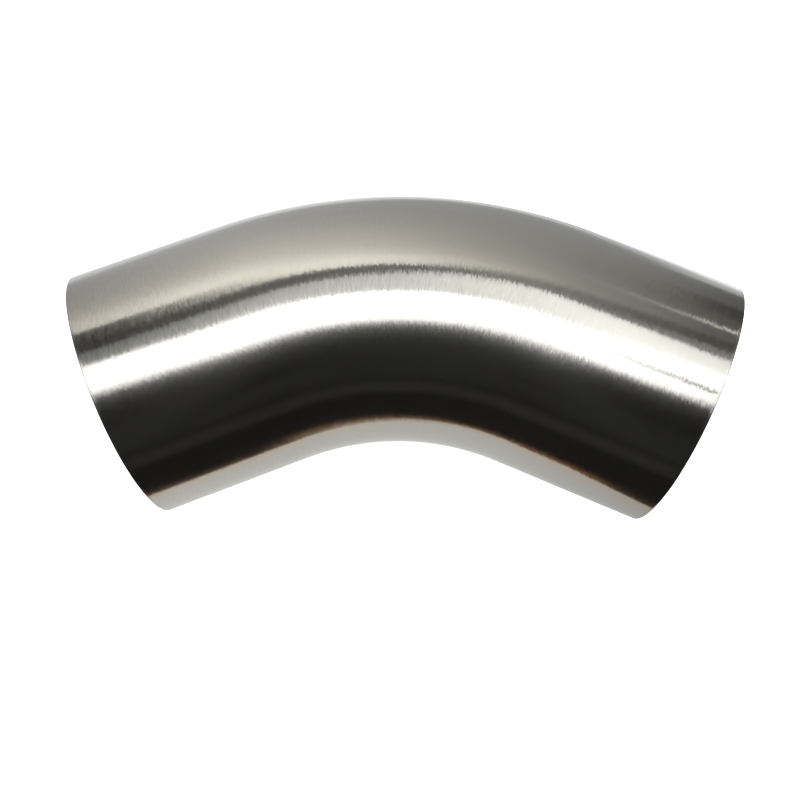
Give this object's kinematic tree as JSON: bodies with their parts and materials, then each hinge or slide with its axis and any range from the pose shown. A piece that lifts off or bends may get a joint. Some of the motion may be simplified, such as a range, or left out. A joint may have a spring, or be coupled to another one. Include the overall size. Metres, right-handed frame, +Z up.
{
  "type": "flue elbow",
  "caption": "Plain-ended 45 degree elbow in polished stainless steel tube, with a long-radius bend and a short straight run at each end.",
  "frame": {"origin": "middle of the footprint of the elbow lying on its side, on the surface it lies on", "axes": "+Z up, square to the level plane of the bend; +Y towards the heel, the long outer curve; +X from the inlet end to the outlet end"},
  "size_m": [0.199, 0.099, 0.0762],
  "materials": {
    "polished_stainless": "bright polish with fine marks running round the tube",
    "weld_metal": "ground flush outside, faintly rippled and straw-tinted inside"
  },
  "bodies": {
    "root": {"elbow_tube": "polished_stainless", "seam_weld": "weld_metal"}
  },
  "joints": []
}
